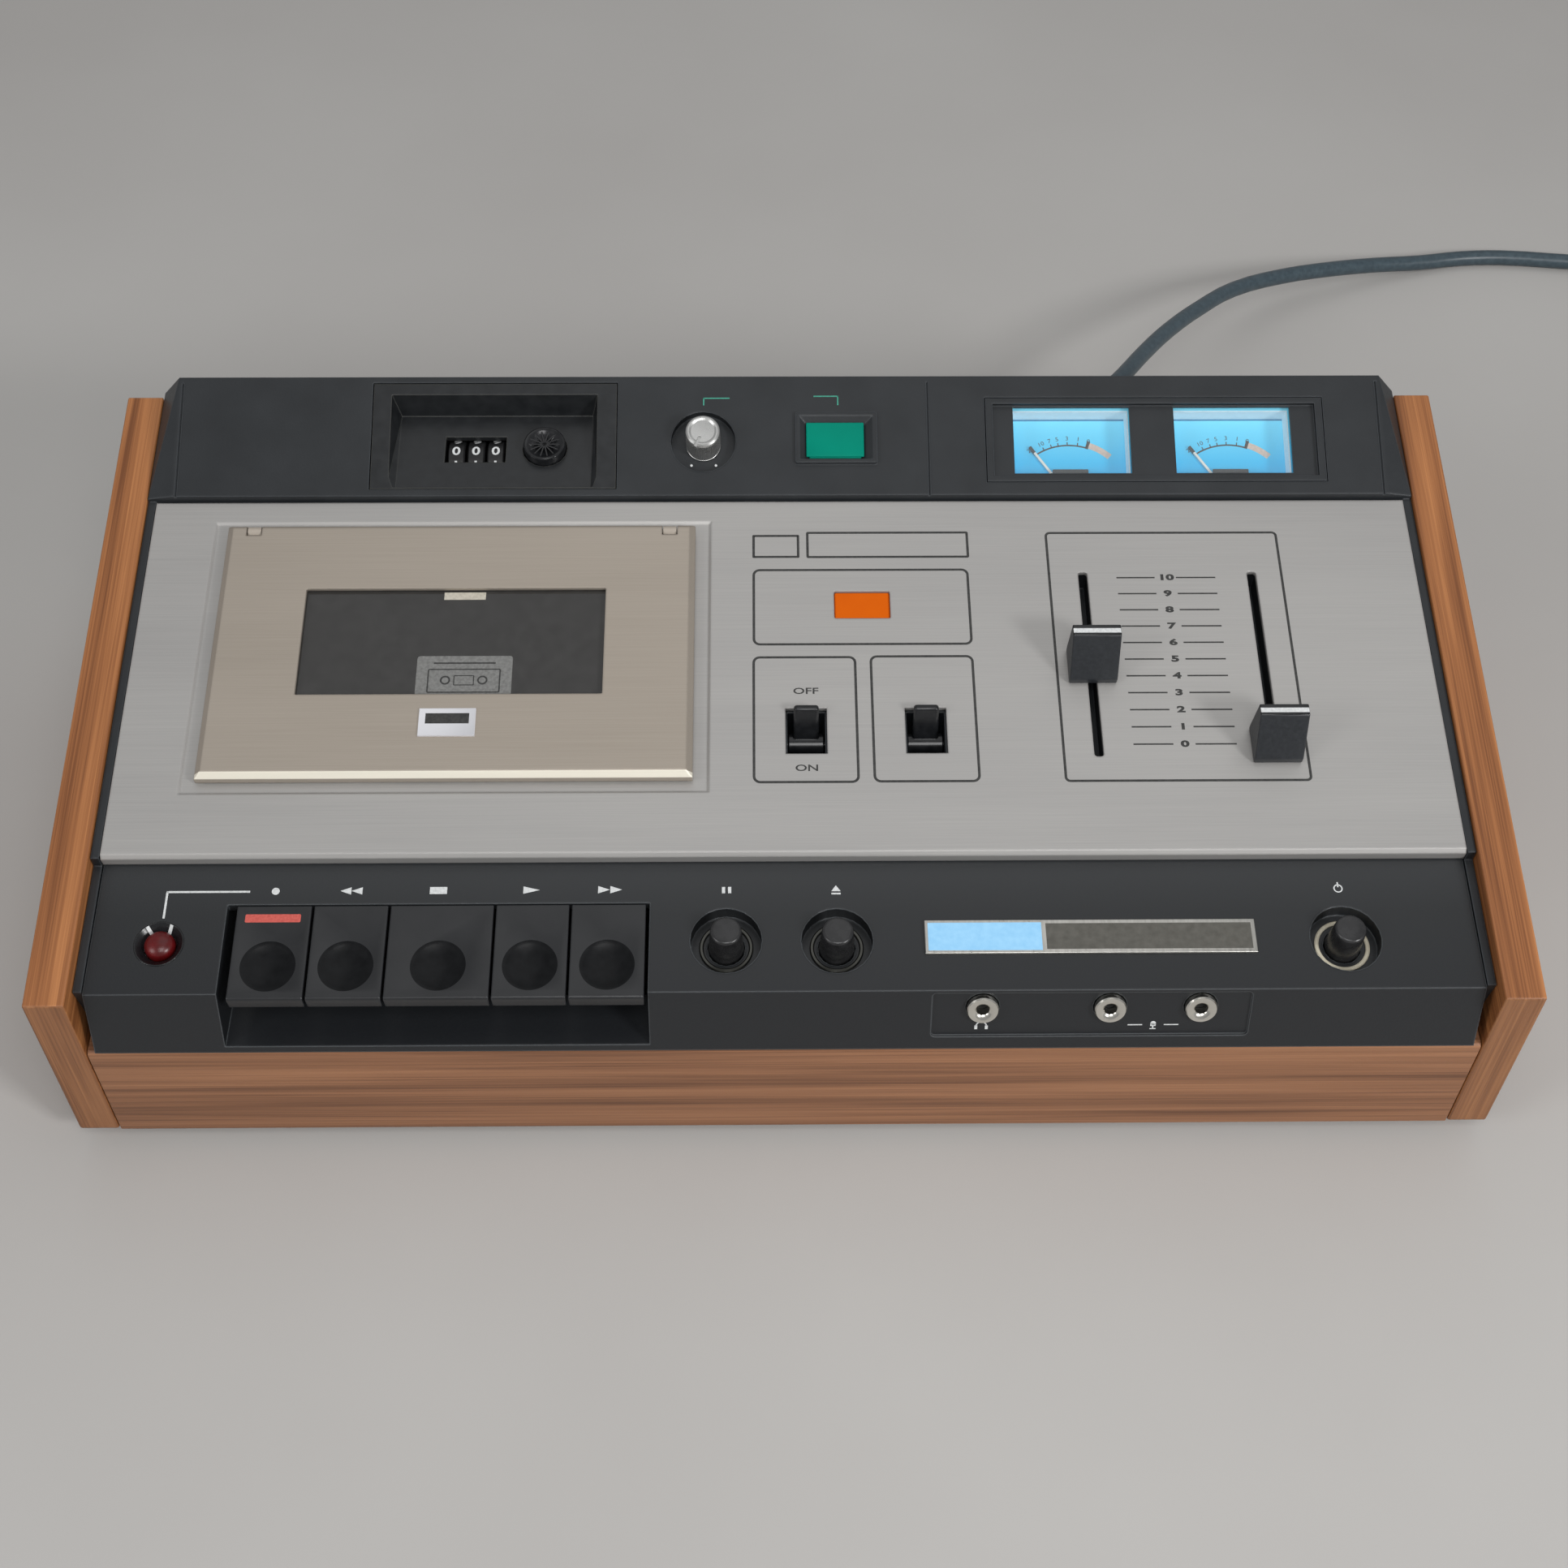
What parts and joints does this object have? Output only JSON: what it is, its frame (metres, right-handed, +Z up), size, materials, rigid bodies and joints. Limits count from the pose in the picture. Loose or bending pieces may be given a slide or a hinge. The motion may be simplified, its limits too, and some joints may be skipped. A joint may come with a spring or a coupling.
{
  "type": "cassette deck",
  "caption": "Top-loading stereo cassette deck with a hinged lid, piano keys, slide level controls, twin needle meters, tape counter and walnut cheeks.",
  "frame": {"origin": "on the surface the deck stands on, under the middle of the deck without its mains lead", "axes": "+X along the deck's width to the right, +Y from the keys to the rear panel, +Z up"},
  "size_m": [0.6503, 0.4106, 0.1174],
  "materials": {
    "walnut": "satin walnut veneer",
    "black_plastic": "fine grained black moulding",
    "dark_plastic": "smooth black",
    "aluminium": "finely brushed",
    "champagne": "brushed champagne anodised",
    "steel": "plain plated sheet and turned steel",
    "nickel": "nickel plated",
    "brass": "turned",
    "rubber": "matte",
    "smoked_window": "smoked, nearly opaque",
    "clear_window": "clear",
    "orange_lens": "translucent orange",
    "green_lens": "translucent green",
    "red_lens": "translucent red",
    "meter_blue": "lit blue dial",
    "cream_plastic": "moulded cream",
    "cord_sheath": "grey blue sheath"
  },
  "bodies": {
    "deck": {"base_plate": "steel", "cassette_well": "dark_plastic", "control_block": "black_plastic", "control_panel": "aluminium", "cord_bushing": "rubber", "cord_coil": "cord_sheath", "counter_panel": "black_plastic", "drive_belt": "rubber", "drive_motor": "steel", "front_fascia": "black_plastic", "front_left_foot": "rubber", "front_rail": "walnut", "front_right_foot": "rubber", "green_lamp_lens": "green_lens", "key_rod": "steel", "left_cheek": "walnut", "left_mic_jack": "nickel", "mains_cord": "cord_sheath", "mains_plug": "black_plastic", "meter_bezel": "black_plastic", "meter_case": "meter_blue", "meter_glass": "clear_window", "phone_jack": "nickel", "power_transformer": "steel", "rear_hood": "black_plastic", "rear_left_foot": "rubber", "rear_panel": "steel", "rear_right_foot": "rubber", "record_lamp": "red_lens", "right_cheek": "walnut", "right_mic_jack": "nickel", "tape_lamp_lens": "orange_lens"},
    "lid": {"lid_frame": "champagne", "lid_window": "smoked_window"},
    "record_key": {"rec_key": "dark_plastic"},
    "rewind_key": {"rewind_key": "dark_plastic"},
    "stop_key": {"stop_key": "dark_plastic"},
    "play_key": {"play_key": "dark_plastic"},
    "forward_key": {"forward_key": "dark_plastic"},
    "pause_button": {"pause_button": "dark_plastic"},
    "eject_button": {"eject_button": "dark_plastic"},
    "power_button": {"power_button": "dark_plastic"},
    "mode_lever": {"mode_lever": "nickel"},
    "tape_lever": {"tape_lever": "nickel"},
    "left_fader": {"left_fader": "dark_plastic"},
    "right_fader": {"right_fader": "dark_plastic"},
    "noise_knob": {"noise_knob": "nickel"},
    "reset_button": {"counter_reset_button": "black_plastic"},
    "ones_wheel": {"counter_wheel_ones": "dark_plastic"},
    "tens_wheel": {"counter_wheel_tens": "dark_plastic"},
    "hundreds_wheel": {"counter_wheel_hundreds": "dark_plastic"},
    "left_needle": {"left_needle": "dark_plastic"},
    "right_needle": {"right_needle": "dark_plastic"},
    "supply_spindle": {"supply_spindle": "cream_plastic"},
    "takeup_spindle": {"takeup_spindle": "cream_plastic"},
    "capstan": {"capstan_flywheel": "steel"},
    "motor_pulley": {"motor_pulley": "brass"},
    "head_carriage": {"head_plate": "steel", "record_head": "nickel"},
    "pinch_roller": {"pinch_roller": "rubber"}
  },
  "joints": [
    {"name": "lid_hinge", "type": "hinge", "parent": "deck", "child": "lid", "pos_m": [-0.0968, 0.04662, 0.099], "axis": [-1, 0, 0], "range_deg": [0, 68]},
    {"name": "record_press", "type": "hinge", "parent": "deck", "child": "record_key", "pos_m": [-0.095, -0.04375, 0.063], "axis": [1, 0, 0], "range_deg": [0, 6], "stiffness_Nm_per_rad": 0.5, "springref_deg": -5.73},
    {"name": "rewind_press", "type": "hinge", "parent": "deck", "child": "rewind_key", "pos_m": [-0.095, -0.04375, 0.063], "axis": [1, 0, 0], "range_deg": [0, 6], "stiffness_Nm_per_rad": 0.5, "springref_deg": -5.73},
    {"name": "stop_press", "type": "hinge", "parent": "deck", "child": "stop_key", "pos_m": [-0.095, -0.04375, 0.063], "axis": [1, 0, 0], "range_deg": [0, 6], "stiffness_Nm_per_rad": 0.5, "springref_deg": -5.73},
    {"name": "play_press", "type": "hinge", "parent": "deck", "child": "play_key", "pos_m": [-0.095, -0.04375, 0.063], "axis": [1, 0, 0], "range_deg": [0, 6], "stiffness_Nm_per_rad": 0.5, "springref_deg": -5.73},
    {"name": "forward_press", "type": "hinge", "parent": "deck", "child": "forward_key", "pos_m": [-0.095, -0.04375, 0.063], "axis": [1, 0, 0], "range_deg": [0, 6], "stiffness_Nm_per_rad": 0.5, "springref_deg": -5.73},
    {"name": "pause_press", "type": "slide", "parent": "deck", "child": "pause_button", "axis": [0, 0.1392, -0.9903], "range_m": [0, 0.004], "stiffness_N_per_m": 150, "springref_m": -0.002},
    {"name": "eject_press", "type": "slide", "parent": "deck", "child": "eject_button", "axis": [0, 0.1392, -0.9903], "range_m": [0, 0.004], "stiffness_N_per_m": 150, "springref_m": -0.002},
    {"name": "power_press", "type": "slide", "parent": "deck", "child": "power_button", "axis": [0, 0.1392, -0.9903], "range_m": [0, 0.004], "stiffness_N_per_m": 150, "springref_m": -0.002},
    {"name": "mode_switch", "type": "hinge", "parent": "deck", "child": "mode_lever", "pos_m": [0.0063, -0.01982, 0.07783], "axis": [1, 0, 0], "range_deg": [0, 50]},
    {"name": "tape_switch", "type": "hinge", "parent": "deck", "child": "tape_lever", "pos_m": [0.0409, -0.01982, 0.07783], "axis": [1, 0, 0], "range_deg": [0, 50]},
    {"name": "left_level", "type": "slide", "parent": "deck", "child": "left_fader", "axis": [0, 0.9867, 0.1625], "range_m": [-0.0292, 0.0287]},
    {"name": "right_level", "type": "slide", "parent": "deck", "child": "right_fader", "axis": [0, 0.9867, 0.1625], "range_m": [-0.0022, 0.0557]},
    {"name": "knob_turn", "type": "hinge", "parent": "deck", "child": "noise_knob", "pos_m": [-0.0241, 0.0765, 0.10807], "axis": [0, -0.3955, 0.9184], "range_deg": [0, 51]},
    {"name": "reset_press", "type": "slide", "parent": "deck", "child": "reset_button", "axis": [0, 0.1584, -0.9874], "range_m": [0, 0.003], "stiffness_N_per_m": 150, "springref_m": -0.002},
    {"name": "takeup_spin", "type": "hinge", "parent": "deck", "child": "takeup_spindle", "pos_m": [-0.07545, 0.01625, 0.08275], "axis": [0, -0.1625, 0.9867], "continuous": true},
    {"name": "supply_spin", "type": "hinge", "parent": "deck", "child": "supply_spindle", "pos_m": [-0.11795, 0.01625, 0.08275], "axis": [0, -0.1625, 0.9867], "continuous": true},
    {"name": "ones_turn", "type": "hinge", "parent": "deck", "child": "ones_wheel", "pos_m": [-0.0946, 0.07925, 0.09509], "axis": [1, 0, 0], "continuous": true},
    {"name": "tens_turn", "type": "hinge", "parent": "deck", "child": "tens_wheel", "pos_m": [-0.0946, 0.07925, 0.09509], "axis": [1, 0, 0], "continuous": true},
    {"name": "hundreds_turn", "type": "hinge", "parent": "deck", "child": "hundreds_wheel", "pos_m": [-0.0946, 0.07925, 0.09509], "axis": [1, 0, 0], "continuous": true},
    {"name": "left_needle_swing", "type": "hinge", "parent": "deck", "child": "left_needle", "pos_m": [0.08995, 0.06619, 0.09383], "axis": [0, 0.3955, -0.9184], "range_deg": [0, 78]},
    {"name": "right_needle_swing", "type": "hinge", "parent": "deck", "child": "right_needle", "pos_m": [0.1399, 0.06619, 0.09383], "axis": [0, 0.3955, -0.9184], "range_deg": [0, 78]},
    {"name": "capstan_spin", "type": "hinge", "parent": "deck", "child": "capstan", "pos_m": [-0.0762, -0.00975, 0.06834], "axis": [0, -0.1625, 0.9867], "continuous": true},
    {"name": "motor_spin", "type": "hinge", "parent": "deck", "child": "motor_pulley", "pos_m": [-0.14, -0.00421, 0.04087], "axis": [0, -0.1625, 0.9867], "continuous": true},
    {"name": "head_slide", "type": "slide", "parent": "deck", "child": "head_carriage", "axis": [0, 0.9867, 0.1625], "range_m": [0, 0.005]},
    {"name": "roller_spin", "type": "hinge", "parent": "head_carriage", "child": "pinch_roller", "pos_m": [-0.0762, -0.02295, 0.07529], "axis": [0, -0.1625, 0.9867], "continuous": true}
  ],
  "couplings": [
    {"joint": "head_slide", "follows": "play_press", "m_per_rad": 0.047746},
    {"joint": "motor_spin", "follows": "capstan_spin", "ratio": 5.2},
    {"joint": "ones_turn", "follows": "takeup_spin", "ratio": -0.5},
    {"joint": "tens_turn", "follows": "takeup_spin", "ratio": -0.05},
    {"joint": "hundreds_turn", "follows": "takeup_spin", "ratio": -0.005}
  ]
}
